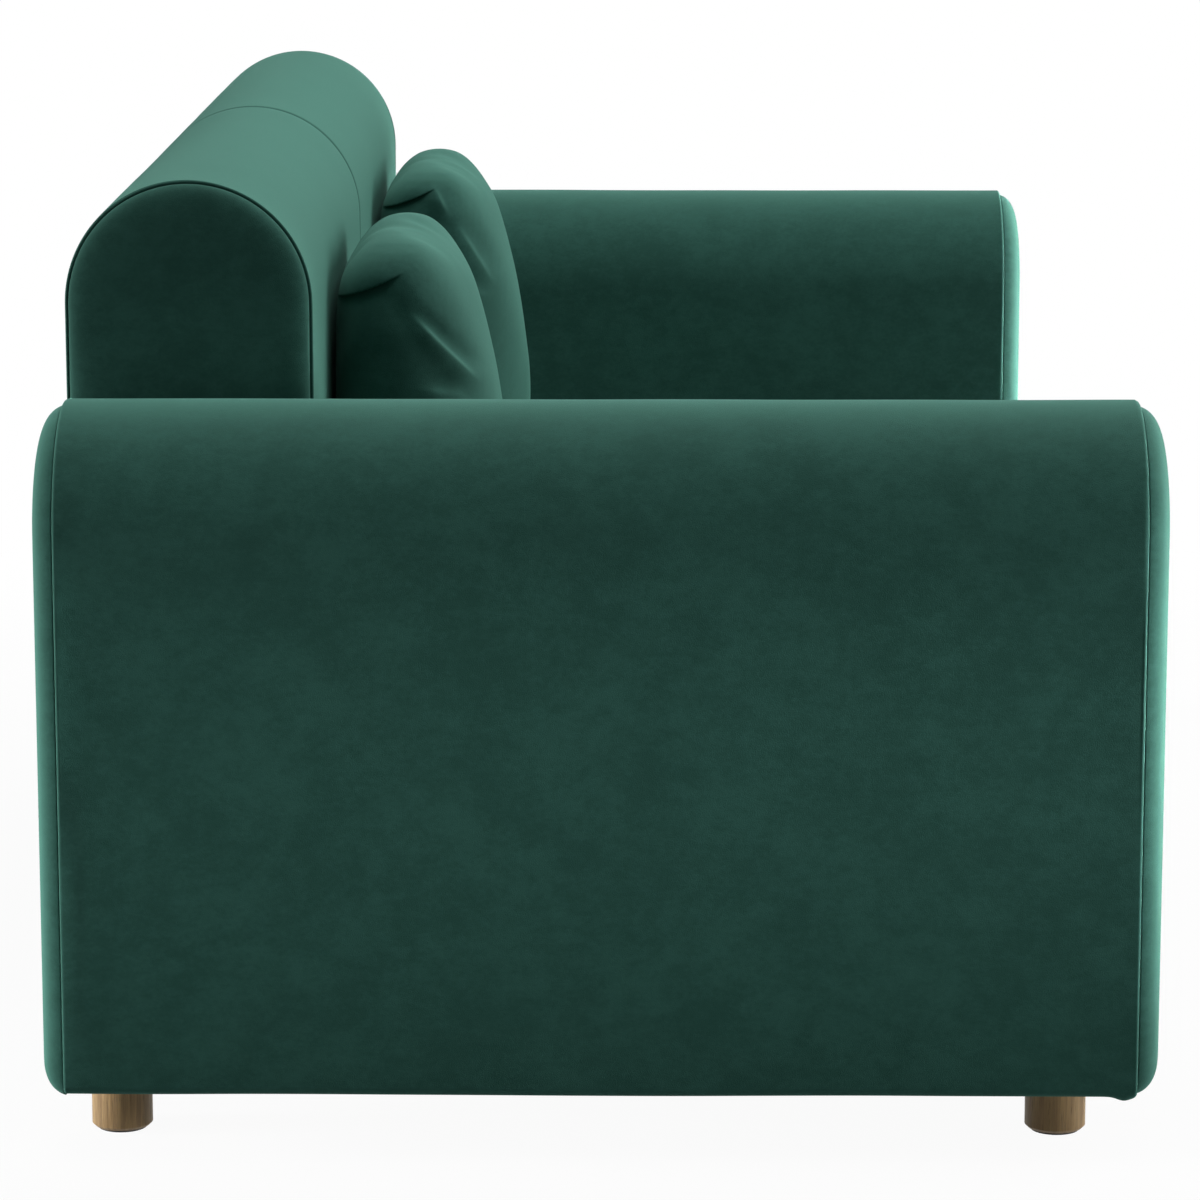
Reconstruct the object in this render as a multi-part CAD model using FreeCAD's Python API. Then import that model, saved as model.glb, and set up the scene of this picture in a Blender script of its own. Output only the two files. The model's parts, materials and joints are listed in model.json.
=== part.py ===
"""Two-seater sofa: arch-topped arms and back, bolted seat base, loose seat and scatter cushions.

Millimetres. X runs along the sofa, the front faces -Y and Z is up.
The origin is on the floor, below the middle.
Pieces that come in pairs are built on the right (+X) and mirrored to the left.
"""
import FreeCAD
import Part
import math
import os

# overall sizes
LENGTH = 1780.0
ARM_DEPTH = 865.0
ARM_WIDTH = 200.0
ARM_HEIGHT = 607.0
BACK_HEIGHT = 772.0
BACK_THICKNESS = 204.5
BACK_OVERHANG = 11.0
SEAT_HEIGHT = 382.0
GROUND_CLEARANCE = 55.0

# upholstery layers
LAYER_GAP = 0.3
COVER = 2.0
ARM_FOAM = 18.0
BACK_FOAM = 20.0
HARDBOARD = 3.0
WRAP_CORNER = 8.0
WRAP_LIP = 5.0
END_HEM = 14.0
UNDER_HEM = 30.0

# padded facings on the ends of the arms and the back
FACING_INSET = 5.0
FACING_LIFT = 2.0
FACING_CORNER = 24.0
FACING_BACK_HEM = 16.0
FACING_BOARD_INSET = 10.0
ARM_FACING_DEPTH = 22.0
ARM_FACING_ROUND = 17.0
ARM_FACING_BOARD = 9.0
BACK_CAP_DEPTH = 13.7
BACK_CAP_ROUND = 8.5
BACK_CAP_BOARD = 6.0

# frames inside the arms and the back
PLY = 18.0
ARM_RIBS = 3
BACK_RIBS = 4
RAIL_THICKNESS = 28.0
RAIL_HEIGHT = 45.0
MOUNT_RAIL_HEIGHT = 120.0
SPRING_DROP = 22.0
RIB_SLOT_WIDTH = 70.0
RIB_SLOT_HEIGHT = 190.0

# seat base
BASE_RAIL = 25.0
BASE_RAIL_LIFT = 5.0
BASE_RAIL_HEIGHT = 133.0
CENTRE_RAIL_DROP = 25.0
CORNER_BLOCK = 80.0
CORNER_BLOCK_HEIGHT = 70.0
BORDER_SETBACK = 10.0
BORDER_FOAM = 16.0
BORDER_ROUND = 12.0
BORDER_LAP = 20.0
STRAPS_PER_SEAT = 5
STRAP_WIDTH = 60.0
STRAP = 2.0
STRAP_END_INSET = 5.0
DECK_FELT = 3.0
DUST_COVER = 1.5
DUST_COVER_INSET = 4.0

# loose cushions: every one is a pinched square outline, scaled through its depth
PILLOW_SIDES = 28
SEAT_SIDE_GAP = 1.0
SEAT_OVERHANG = 12.0
SEAT_SQUARENESS = 13.0
SEAT_PINCH = 0.008
SEAT_SHARES = (0.0, 0.05, 0.16, 0.70, 0.84, 0.91, 0.96, 0.99, 1.0)
SEAT_BASE_SCALE = 0.955
SEAT_FULL_AT = 0.16
SEAT_CLOSES_AT = 0.70
SEAT_CROWN_POWER = 5
SEAT_TOP_CUT = 0.997
SCATTER_WIDTH = 344.0
SCATTER_HEIGHT = 340.0
SCATTER_THICKNESS = 157.0
SCATTER_SQUARENESS = 5.5
SCATTER_PINCH = 0.035
SCATTER_SAG = 75.0
SCATTER_SHARES = (0.0, 0.1, 0.25, 0.45, 0.62, 0.74, 0.83, 0.91, 0.965, 1.0)
SCATTER_WIDEST_AT = 0.45
SCATTER_BACK_SCALE = 0.8
SCATTER_CROWN_POWER = 2
SCATTER_FRONT_CUT = 0.985

# legs and fasteners
LEG_DIAMETER = 50.0
LEG_CHAMFER = 2.5
FRONT_LEG_INSET = 57.5
REAR_LEG_INSET = 36.5
GLIDE = 2.0
GLIDE_DIAMETER = 40.0
BOLT_DIAMETER = 8.0
BOLT_CLEARANCE = 0.5
BOLT_STICK_OUT = 4.0
BOLT_HEAD_DIAMETER = 20.0
BOLT_HEAD = 5.0
LEG_BOLT_DEPTH = 35.0
TEE_FLANGE_DIAMETER = 22.0
TEE_FLANGE = 1.5
TEE_BARREL_DIAMETER = 11.0
TEE_BARREL = 12.0
ARM_BOLTS = 3
ARM_BOLT_INSET = 130.0

# places worked out from the sizes above
ARM_CENTRE = LENGTH / 2 - ARM_WIDTH / 2
ARM_INNER = LENGTH / 2 - ARM_WIDTH
ARM_END = ARM_DEPTH / 2
ARM_OUTLINE = (ARM_WIDTH, ARM_HEIGHT, GROUND_CLEARANCE, WRAP_CORNER)
FOAM_INSET = COVER + LAYER_GAP
ARM_SKIN_INSET = FOAM_INSET + ARM_FOAM + LAYER_GAP
ARM_RIB_INSET = ARM_SKIN_INSET + HARDBOARD + LAYER_GAP
BOARD_BOTTOM = GROUND_CLEARANCE + FOAM_INSET
BOARD_TOP = BOARD_BOTTOM + PLY
BACK_OUTLINE = (BACK_THICKNESS, BACK_HEIGHT, GROUND_CLEARANCE, WRAP_CORNER)
BACK_SKIN_INSET = FOAM_INSET + BACK_FOAM + LAYER_GAP
BACK_RIB_INSET = BACK_SKIN_INSET + HARDBOARD + LAYER_GAP
BACK_REAR = ARM_END + BACK_OVERHANG
BACK_FRONT = BACK_REAR - BACK_THICKNESS
BACK_CENTRE = BACK_REAR - BACK_THICKNESS / 2
BACK_END = ARM_INNER - LAYER_GAP - BACK_CAP_DEPTH
BASE_HALF = ARM_INNER - LAYER_GAP
BASE_REAR = BACK_FRONT - LAYER_GAP
BASE_BOTTOM = GROUND_CLEARANCE + BASE_RAIL_LIFT
BASE_TOP = BASE_BOTTOM + BASE_RAIL_HEIGHT
BORDER_FRONT = BORDER_SETBACK - ARM_END
FRONT_RAIL_FRONT = BORDER_FRONT + FOAM_INSET + BORDER_FOAM + LAYER_GAP
FRONT_RAIL_REAR = FRONT_RAIL_FRONT + BASE_RAIL
REAR_RAIL_FRONT = BASE_REAR - BASE_RAIL
SIDE_RAIL_INNER = BASE_HALF - BASE_RAIL
LAP_REAR = FRONT_RAIL_FRONT + BORDER_LAP
LAP_BOTTOM = BASE_TOP + STRAP + LAYER_GAP
DECK_TOP = LAP_BOTTOM + DECK_FELT
SEAT_BOTTOM = DECK_TOP + LAYER_GAP
FRAME_BOLT_HEIGHT = BASE_BOTTOM + BASE_RAIL_HEIGHT / 2
LEG_PLACES = {"front": FRONT_LEG_INSET - ARM_END, "rear": ARM_END - REAR_LEG_INSET}
ALONG_X = FreeCAD.Vector(1, 0, 0)
ALONG_Y = FreeCAD.Vector(0, 1, 0)
UPWARDS = FreeCAD.Vector(0, 0, 1)


def vec(x, y, z):
    return FreeCAD.Vector(x, y, z)


def box(low, high):
    """A box between two corners."""
    size = [b - a for a, b in zip(low, high)]
    return Part.makeBox(*size, vec(*low))


def line(a, b):
    return Part.LineSegment(a, b).toShape()


def arc(a, middle, b):
    return Part.Arc(a, middle, b).toShape()


def rod(start, axis, diameter, length):
    """A round bar from a point along an axis."""
    return Part.makeCylinder(diameter / 2, length, start, axis)


def spread(first, last, count):
    """Evenly spaced places from first to last."""
    return [first + (last - first) * i / (count - 1) for i in range(count)]


def mirrored(shape):
    """The left-hand twin of a right-hand piece."""
    return shape.mirror(vec(0, 0, 0), ALONG_X)


def front_for_rear(shape):
    """The same piece on the opposite end along Y."""
    return shape.mirror(vec(0, 0, 0), ALONG_Y)


def save(name, *solids):
    """Write one sub-part, made of one or more separate solids."""
    shape = solids[0] if len(solids) == 1 else Part.makeCompound(list(solids))
    shape.exportStep("parts/%s.step" % name)


def save_pair(name, *solids):
    """Write a right-hand sub-part and its left-hand twin."""
    save(name % "right", *solids)
    save(name % "left", *[mirrored(solid) for solid in solids])


def end_edges(solid, ends):
    """The edges that lie wholly in the given planes square to Y."""
    found = []
    for edge in solid.Edges:
        bounds = edge.BoundBox
        if any(abs(bounds.YMin - y) + abs(bounds.YMax - y) < 1e-3 for y in ends):
            found.append(edge)
    return found


def arch_prism(outline, start, end, inset=0.0):
    """An upright arch in XZ, drawn in by inset all round and swept along Y from start to end."""
    width, top, bottom, corner = outline
    half = width / 2 - inset
    spring = top - width / 2
    low = bottom + inset
    r = max(corner - inset, COVER / 2)
    k = r * (1 - math.sqrt(0.5))
    m = half * math.sqrt(0.5)

    def at(x, z):
        return vec(x, start, z)

    edges = [
        line(at(r - half, low), at(half - r, low)),
        arc(at(half - r, low), at(half - k, low + k), at(half, low + r)),
        line(at(half, low + r), at(half, spring)),
        arc(at(half, spring), at(m, spring + m), at(0, spring + half)),
        arc(at(0, spring + half), at(-m, spring + m), at(-half, spring)),
        line(at(-half, spring), at(-half, low + r)),
        arc(at(-half, low + r), at(k - half, low + k), at(r - half, low)),
    ]
    return Part.Face(Part.Wire(edges)).extrude(vec(0, end - start, 0))


def open_arch(outline, start, end, inset):
    """An arch whose straight sides run down past the outline's bottom."""
    width, top, bottom, corner = outline
    return arch_prism((width, top, bottom - corner - 2 * inset, corner), start, end, inset)


def standing_arch(outline, start, end, inset):
    """An arch that stands on the bottom board."""
    width, top = outline[:2]
    below = box((-width, start, -top), (width, end, BOARD_TOP))
    return open_arch(outline, start, end, inset).cut(below)


def bevelled_arch(outline, start, end, inset):
    """What lies inside a wrap at a given inset: its ends drawn in too, with bevels under the wrap's lips."""
    low, high = start + inset, end - inset
    solid = arch_prism(outline, low, high, inset)
    return solid.makeChamfer(WRAP_LIP - COVER, end_edges(solid, (low, high)))


def wrap_cover(outline, start, end, board_inset):
    """A velvet wrap over an arch: lips turned in at both ends, hems turned under, room for the board."""
    width, top, bottom, corner = outline
    outer = arch_prism(outline, start, end)
    outer = outer.makeFillet(WRAP_LIP, end_edges(outer, (start, end)))
    inner = bevelled_arch(outline, start, end, COVER)
    mouth = arch_prism(outline, start - COVER, end + COVER, END_HEM)
    reach = width / 2 - UNDER_HEM
    under = box((-reach, start + END_HEM, bottom - COVER), (reach, end - END_HEM, bottom + END_HEM))
    return outer.cut([inner, mouth, under, bottom_board(outline, end, board_inset, LAYER_GAP)])


def wrap_foam(outline, start, end, thickness):
    """Foam under the wrap, open underneath round the bottom board."""
    outer = bevelled_arch(outline, start, end, FOAM_INSET)
    return outer.cut(open_arch(outline, start, end, FOAM_INSET + thickness))


def bent_skin(outline, end, inset):
    """Hardboard bent over the ribs."""
    last = end - FOAM_INSET
    return standing_arch(outline, -last, last, inset).cut(open_arch(outline, -end, end, inset + HARDBOARD))


def frame_rails(outline, end, inset):
    """Rails between the end ribs: one under the crown, two at the spring and two on the bottom board."""
    width, top = outline[:2]
    half = width / 2 - inset
    spring = top - width / 2
    last = end - FOAM_INSET - PLY
    crown = spring + math.sqrt(half ** 2 - (RAIL_HEIGHT / 2) ** 2) - LAYER_GAP
    upper = spring - SPRING_DROP
    sides = ((-half, RAIL_THICKNESS - half, MOUNT_RAIL_HEIGHT), (half - RAIL_THICKNESS, half, RAIL_HEIGHT))
    rails = [box((-RAIL_HEIGHT / 2, -last, crown - RAIL_THICKNESS), (RAIL_HEIGHT / 2, last, crown))]
    for low, high, lower_height in sides:
        rails.append(box((low, -last, upper - RAIL_HEIGHT), (high, last, upper)))
        rails.append(box((low, -last, BOARD_TOP), (high, last, BOARD_TOP + lower_height)))
    return rails


def frame_ribs(outline, end, inset, count, rails):
    """Plywood ribs at both ends and evenly between, slotted, and notched where the rails pass."""
    width, top = outline[:2]
    middle = (BOARD_TOP + top - width / 2) / 2
    high, low = middle + RIB_SLOT_HEIGHT / 2, middle - RIB_SLOT_HEIGHT / 2
    slot = arch_prism((RIB_SLOT_WIDTH, high, low, RIB_SLOT_WIDTH / 3), -end, end)
    last = end - FOAM_INSET - PLY / 2
    ribs = []
    for y in spread(-last, last, count):
        ribs.append(standing_arch(outline, y - PLY / 2, y + PLY / 2, inset).cut([slot] + rails))
    return ribs


def bottom_board(outline, end, inset, clearance=0.0):
    """The board that the ribs stand on, or the room that it takes with some clearance round it."""
    half = outline[0] / 2 - inset + clearance
    last = end - FOAM_INSET + clearance
    return box((-half, -last, BOARD_BOTTOM - clearance), (half, last, BOARD_TOP + clearance))


def facing(outline, start, depth, board, radius):
    """A padded end panel that faces +Y: board, foam over its edges, and a velvet cover hemmed behind."""
    width, top, bottom = outline[:3]
    panel = (width - 2 * FACING_INSET, top - FACING_INSET, bottom + FACING_LIFT, FACING_CORNER)
    back = start + LAYER_GAP
    front = start + depth
    round_edge = min(radius, depth - LAYER_GAP - 2 * FOAM_INSET)

    def pad(inset):
        """The space inside the cover, bevelled under its round edge."""
        solid = arch_prism(panel, back + inset, front - inset, inset)
        return solid.makeChamfer(round_edge - COVER, end_edges(solid, (front - inset,)))

    outer = arch_prism(panel, back, front)
    outer = outer.makeFillet(round_edge, end_edges(outer, (front,)))
    mouth = arch_prism(panel, start, back + 2 * COVER, FACING_BACK_HEM)
    cover = outer.cut([pad(COVER), mouth])
    board_back = back + FOAM_INSET
    board_front = board_back + board
    plate = arch_prism(panel, board_back, board_front, FACING_BOARD_INSET)
    pocket = arch_prism(panel, start, board_front + LAYER_GAP, FACING_BOARD_INSET - LAYER_GAP)
    return plate, pad(FOAM_INSET).cut(pocket), cover


class Fixing:
    """A bolt from a head seat into a tee nut: its two solids and the holes that it needs."""

    def __init__(self, head_seat, axis, grip):
        nut_seat = head_seat + axis * grip
        length = grip + TEE_FLANGE + BOLT_STICK_OUT
        back = axis * -1
        head = rod(head_seat, back, BOLT_HEAD_DIAMETER, BOLT_HEAD)
        self.bolt = head.fuse(rod(head_seat, axis, BOLT_DIAMETER, length)).removeSplitter()
        self.nut = tee_nut(nut_seat, axis)
        shaft = rod(head_seat, axis, BOLT_DIAMETER + 2 * BOLT_CLEARANCE, length)
        barrel = rod(nut_seat, back, TEE_BARREL_DIAMETER + 2 * LAYER_GAP, TEE_BARREL + LAYER_GAP)
        self.hole = shaft.fuse(barrel)


def tee_nut(seat, axis):
    """A tee nut: a flange on the seat and a barrel that runs back into the timber."""
    back = axis * -1
    flange = rod(seat, axis, TEE_FLANGE_DIAMETER, TEE_FLANGE)
    barrel = rod(seat, back, TEE_BARREL_DIAMETER, TEE_BARREL)
    bore = rod(seat + axis * TEE_FLANGE, back, BOLT_DIAMETER + LAYER_GAP, TEE_BARREL + TEE_FLANGE)
    return flange.fuse(barrel).removeSplitter().cut(bore)


def arm_fixings():
    """Bolts through the right side rail of the base into the right arm's mounting rail."""
    grip = ARM_INNER + ARM_RIB_INSET + RAIL_THICKNESS - SIDE_RAIL_INNER
    places = spread(FRONT_RAIL_REAR + ARM_BOLT_INSET, REAR_RAIL_FRONT - ARM_BOLT_INSET, ARM_BOLTS)
    return [Fixing(vec(SIDE_RAIL_INNER, y, FRAME_BOLT_HEIGHT), ALONG_X, grip) for y in places]


def back_fixings():
    """Bolts through the rear rail of the base into the back's mounting rail, clear of the ribs."""
    grip = BACK_FRONT + BACK_RIB_INSET + RAIL_THICKNESS - REAR_RAIL_FRONT
    bay = 2 * (BACK_END - FOAM_INSET - PLY / 2) / (BACK_RIBS - 1)
    places = [bay * share for share in (-0.75, -0.25, 0.25, 0.75)]
    return [Fixing(vec(x, REAR_RAIL_FRONT, FRAME_BOLT_HEIGHT), ALONG_Y, grip) for x in places]


def build_arms(fixings):
    """Both arms: frame, hardboard, foam, velvet wrap and padded facings."""
    holes = [fixing.hole for fixing in fixings]
    leg_holes = []
    nut_holes = []
    for y in LEG_PLACES.values():
        leg_holes.append(rod(vec(ARM_CENTRE, y, 0), UPWARDS, LEG_DIAMETER + 2 * LAYER_GAP, BOARD_BOTTOM))
        nut_holes.append(rod(vec(ARM_CENTRE, y, 0), UPWARDS, TEE_BARREL_DIAMETER + 2 * LAYER_GAP, BOARD_TOP))

    def placed(shape, cuts=()):
        moved = shape.translated(vec(ARM_CENTRE, 0, 0))
        return moved.cut(list(cuts)) if cuts else moved

    rails = frame_rails(ARM_OUTLINE, ARM_END, ARM_RIB_INSET)
    ribs = frame_ribs(ARM_OUTLINE, ARM_END, ARM_RIB_INSET, ARM_RIBS, rails)
    save_pair("%s_arm_rails", *[placed(rail, holes) for rail in rails])
    save_pair("%s_arm_ribs", *[placed(rib) for rib in ribs])
    save_pair("%s_arm_bottom_board", placed(bottom_board(ARM_OUTLINE, ARM_END, ARM_SKIN_INSET), nut_holes))
    save_pair("%s_arm_hardboard", placed(bent_skin(ARM_OUTLINE, ARM_END, ARM_SKIN_INSET), holes))
    save_pair("%s_arm_foam", placed(wrap_foam(ARM_OUTLINE, -ARM_END, ARM_END, ARM_FOAM), holes))
    arm_cover = wrap_cover(ARM_OUTLINE, -ARM_END, ARM_END, ARM_SKIN_INSET)
    save_pair("%s_arm_cover", placed(arm_cover, holes + leg_holes))
    panels = facing(ARM_OUTLINE, ARM_END, ARM_FACING_DEPTH, ARM_FACING_BOARD, ARM_FACING_ROUND)
    board, foam, cover = [placed(panel) for panel in panels]
    save_pair("%s_arm_facing_boards", front_for_rear(board), board)
    save_pair("%s_arm_facing_foams", front_for_rear(foam), foam)
    save_pair("%s_arm_front_facing_cover", front_for_rear(cover))
    save_pair("%s_arm_rear_facing_cover", cover)


def build_back(fixings):
    """The back: built along Y like an arm, then turned to lie along X."""
    holes = [fixing.hole for fixing in fixings]

    def placed(shape, cuts=()):
        turned = shape.copy()
        turned.rotate(vec(0, 0, 0), UPWARDS, -90)
        turned = turned.mirror(vec(0, 0, 0), ALONG_Y).translated(vec(0, BACK_CENTRE, 0))
        return turned.cut(list(cuts)) if cuts else turned

    rails = frame_rails(BACK_OUTLINE, BACK_END, BACK_RIB_INSET)
    ribs = frame_ribs(BACK_OUTLINE, BACK_END, BACK_RIB_INSET, BACK_RIBS, rails)
    board = bottom_board(BACK_OUTLINE, BACK_END, BACK_SKIN_INSET)
    save("back_rails", *[placed(rail, holes) for rail in rails])
    save("back_ribs", *[placed(rib) for rib in ribs])
    save("back_bottom_board", placed(board))
    save("back_hardboard", placed(bent_skin(BACK_OUTLINE, BACK_END, BACK_SKIN_INSET), holes))
    seam = LAYER_GAP
    save_pair("back_foam_%s", placed(wrap_foam(BACK_OUTLINE, seam, BACK_END, BACK_FOAM), holes))
    save_pair("back_cover_%s", placed(wrap_cover(BACK_OUTLINE, seam, BACK_END, BACK_SKIN_INSET), holes))
    panels = facing(BACK_OUTLINE, BACK_END, BACK_CAP_DEPTH, BACK_CAP_BOARD, BACK_CAP_ROUND)
    plate, foam, cover = [placed(panel) for panel in panels]
    save("back_end_boards", plate, mirrored(plate))
    save("back_end_foams", foam, mirrored(foam))
    save_pair("back_end_cover_%s", cover)


def border_bar(inset, rear):
    """The padded front border's section, rounded along its front edges and swept along X."""
    front, low = BORDER_FRONT + inset, BASE_BOTTOM - FOAM_INSET + inset
    high = LAP_BOTTOM + COVER - inset
    half = BASE_HALF - LAYER_GAP
    r = BORDER_ROUND - inset
    k = r * (1 - math.sqrt(0.5))

    def at(y, z):
        return vec(-half, y, z)

    edges = [
        line(at(rear, low), at(front + r, low)),
        arc(at(front + r, low), at(front + k, low + k), at(front, low + r)),
        line(at(front, low + r), at(front, high - r)),
        arc(at(front, high - r), at(front + k, high - k), at(front + r, high)),
        line(at(front + r, high), at(rear, high)),
        line(at(rear, high), at(rear, low)),
    ]
    return Part.Face(Part.Wire(edges)).extrude(vec(2 * half, 0, 0))


def corner_block(y, inward):
    """A triangular block in a right-hand corner of the base, its faces against the rails."""
    low = FRAME_BOLT_HEIGHT - CORNER_BLOCK_HEIGHT / 2
    corner = vec(SIDE_RAIL_INNER, y, low)
    along = corner + ALONG_X * -CORNER_BLOCK
    across = corner + ALONG_Y * (inward * CORNER_BLOCK)
    triangle = Part.Face(Part.makePolygon([corner, along, across, corner]))
    return triangle.extrude(vec(0, 0, CORNER_BLOCK_HEIGHT))


def build_base(arm_bolts, back_bolts):
    """The seat base: rails, corner blocks, webbing, felt, padded border and dust cover."""
    arm_holes = [fixing.hole for fixing in arm_bolts]
    back_holes = [fixing.hole for fixing in back_bolts]
    front_low = (-BASE_HALF, FRONT_RAIL_FRONT, BASE_BOTTOM)
    save("base_front_rail", box(front_low, (BASE_HALF, FRONT_RAIL_REAR, BASE_TOP)))
    rear_rail = box((-BASE_HALF, REAR_RAIL_FRONT, BASE_BOTTOM), (BASE_HALF, BASE_REAR, BASE_TOP))
    save("base_rear_rail", rear_rail.cut(back_holes))
    side_rail = box((SIDE_RAIL_INNER, FRONT_RAIL_REAR, BASE_BOTTOM), (BASE_HALF, REAR_RAIL_FRONT, BASE_TOP))
    save_pair("base_%s_rail", side_rail.cut(arm_holes))
    centre_low = (-BASE_RAIL / 2, FRONT_RAIL_REAR, BASE_BOTTOM)
    save("base_centre_rail", box(centre_low, (BASE_RAIL / 2, REAR_RAIL_FRONT, BASE_TOP - CENTRE_RAIL_DROP)))
    blocks = [corner_block(FRONT_RAIL_REAR, 1), corner_block(REAR_RAIL_FRONT, -1)]
    save("base_corner_blocks", *blocks, *[mirrored(block) for block in blocks])
    straps = []
    pitch = SIDE_RAIL_INNER / STRAPS_PER_SEAT
    for i in range(STRAPS_PER_SEAT):
        x = pitch * (i + 0.5)
        low = (x - STRAP_WIDTH / 2, FRONT_RAIL_FRONT + STRAP_END_INSET, BASE_TOP)
        straps.append(box(low, (x + STRAP_WIDTH / 2, BASE_REAR - STRAP_END_INSET, BASE_TOP + STRAP)))
    save("seat_webbing", *straps, *[mirrored(strap) for strap in straps])
    deck_half = BASE_HALF - LAYER_GAP
    deck_front = LAP_REAR + LAYER_GAP
    save("deck_felt", box((-deck_half, deck_front, LAP_BOTTOM), (deck_half, BASE_REAR - LAYER_GAP, DECK_TOP)))
    save("border_foam", border_bar(FOAM_INSET, FRONT_RAIL_FRONT - LAYER_GAP))
    save("border_cover", border_bar(0, LAP_REAR).cut(border_bar(COVER, LAP_REAR + COVER)))
    dust_half = BASE_HALF - DUST_COVER_INSET
    dust_top = BASE_BOTTOM - LAYER_GAP
    dust_low = (-dust_half, deck_front, dust_top - DUST_COVER)
    save("dust_cover", box(dust_low, (dust_half, BASE_REAR - DUST_COVER_INSET, dust_top)))


def swell(share, base, rise, fall, power):
    """A cushion's width at a share of its depth: growing from base to full at rise, closing after fall."""
    if share < rise:
        return 1 - (1 - base) * (1 - share / rise) ** 3
    return (1 - (max(share - fall, 0) / (1 - fall)) ** power) ** 0.5


def pinched_square(squareness, pinch):
    """A square of half-width 1 with round corners and sides that draw in between them."""
    points = []
    for i in range(PILLOW_SIDES):
        turn = 2 * math.pi * (i + 0.5) / PILLOW_SIDES
        drawn = 1 - pinch * math.cos(2 * turn) ** 2
        parts = (math.cos(turn), math.sin(turn))
        points.append([math.copysign(abs(part) ** (2 / squareness), part) * drawn for part in parts])
    reach = max(a for a, b in points)
    return [(a / reach, b / reach) for a, b in points]


def pillow(place, half_u, half_v, depth, outline, stations, inset):
    """A crowned cushion: an outline of half-width 1, lofted through the cushion's depth.

    Each station is a share of the depth, the outline's scale there and how far its middle sags.
    """
    sections = []
    for share, scale, sag in stations:
        w = inset + (depth - 2 * inset) * share
        across, along = (half_u - inset) * scale, (half_v - inset) * scale
        sections.append([place(across * a, along * b - sag, w) for a, b in outline])
    rings = [sections[0], sections[-1]]
    for below, above in zip(sections, sections[1:]):
        for i in range(PILLOW_SIDES):
            rings.append([below[i - 1], below[i], above[i], above[i - 1]])
    faces = [Part.Face(Part.makePolygon(ring + ring[:1])) for ring in rings]
    return Part.makeSolid(Part.makeShell(faces))


def filling_and_cover(make):
    """A cushion's filling and the cover round it."""
    return make(COVER + LAYER_GAP), make(0).cut(make(COVER))


def seat_cushion():
    """The right seat cushion, lofted upwards: nearly square below and crowned on top."""
    front, rear = BORDER_FRONT - SEAT_OVERHANG, BACK_FRONT - SEAT_SIDE_GAP
    half_u, half_v = ARM_INNER / 2 - SEAT_SIDE_GAP, (rear - front) / 2
    outline = pinched_square(SEAT_SQUARENESS, SEAT_PINCH)
    stations = []
    for share in SEAT_SHARES:
        reached = min(share, SEAT_TOP_CUT)
        scale = swell(reached, SEAT_BASE_SCALE, SEAT_FULL_AT, SEAT_CLOSES_AT, SEAT_CROWN_POWER)
        stations.append((share, scale, 0))

    def place(u, v, w):
        return vec(ARM_INNER / 2 + u, (front + rear) / 2 + v, SEAT_BOTTOM + w)

    def make(inset):
        return pillow(place, half_u, half_v, SEAT_HEIGHT - SEAT_BOTTOM, outline, stations, inset)

    return filling_and_cover(make)


def scatter_cushion():
    """The right scatter cushion, lofted forwards from the back that it leans on."""
    outline = pinched_square(SCATTER_SQUARENESS, SCATTER_PINCH)
    widest = SCATTER_WIDEST_AT
    stations = []
    for share in SCATTER_SHARES:
        sag = SCATTER_SAG * (max(share - widest, 0) / (1 - widest)) ** 2
        reached = min(share, SCATTER_FRONT_CUT)
        scale = swell(reached, SCATTER_BACK_SCALE, widest, widest, SCATTER_CROWN_POWER)
        stations.append((share, scale, sag))

    def place(u, v, w):
        return vec(ARM_INNER / 2 + u, BACK_FRONT - LAYER_GAP - w, SEAT_HEIGHT + SCATTER_HEIGHT / 2 + v)

    def make(inset):
        halves = (SCATTER_WIDTH / 2, SCATTER_HEIGHT / 2)
        return pillow(place, *halves, SCATTER_THICKNESS, outline, stations, inset)

    return filling_and_cover(make)


def drop_to_rest(piece, support):
    """How far a piece sinks straight down until it lies a layer's gap above its support."""
    lifted = piece.copy()
    fallen = 0.0
    for _ in range(12):
        step = lifted.distToShape(support)[0] - LAYER_GAP
        if step < LAYER_GAP / 10:
            break
        lifted.translate(vec(0, 0, -step))
        fallen += step
    return fallen


def build_cushions():
    """Two loose seat cushions, and two loose scatter cushions that rest on them."""
    seat_foam, seat_cover = seat_cushion()
    fill, cover = scatter_cushion()
    settle = vec(0, 0, -drop_to_rest(cover, seat_cover))
    save_pair("seat_cushion_%s_foam", seat_foam)
    save_pair("seat_cushion_%s_cover", seat_cover)
    save_pair("scatter_cushion_%s_fill", fill.translated(settle))
    save_pair("scatter_cushion_%s_cover", cover.translated(settle))


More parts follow.
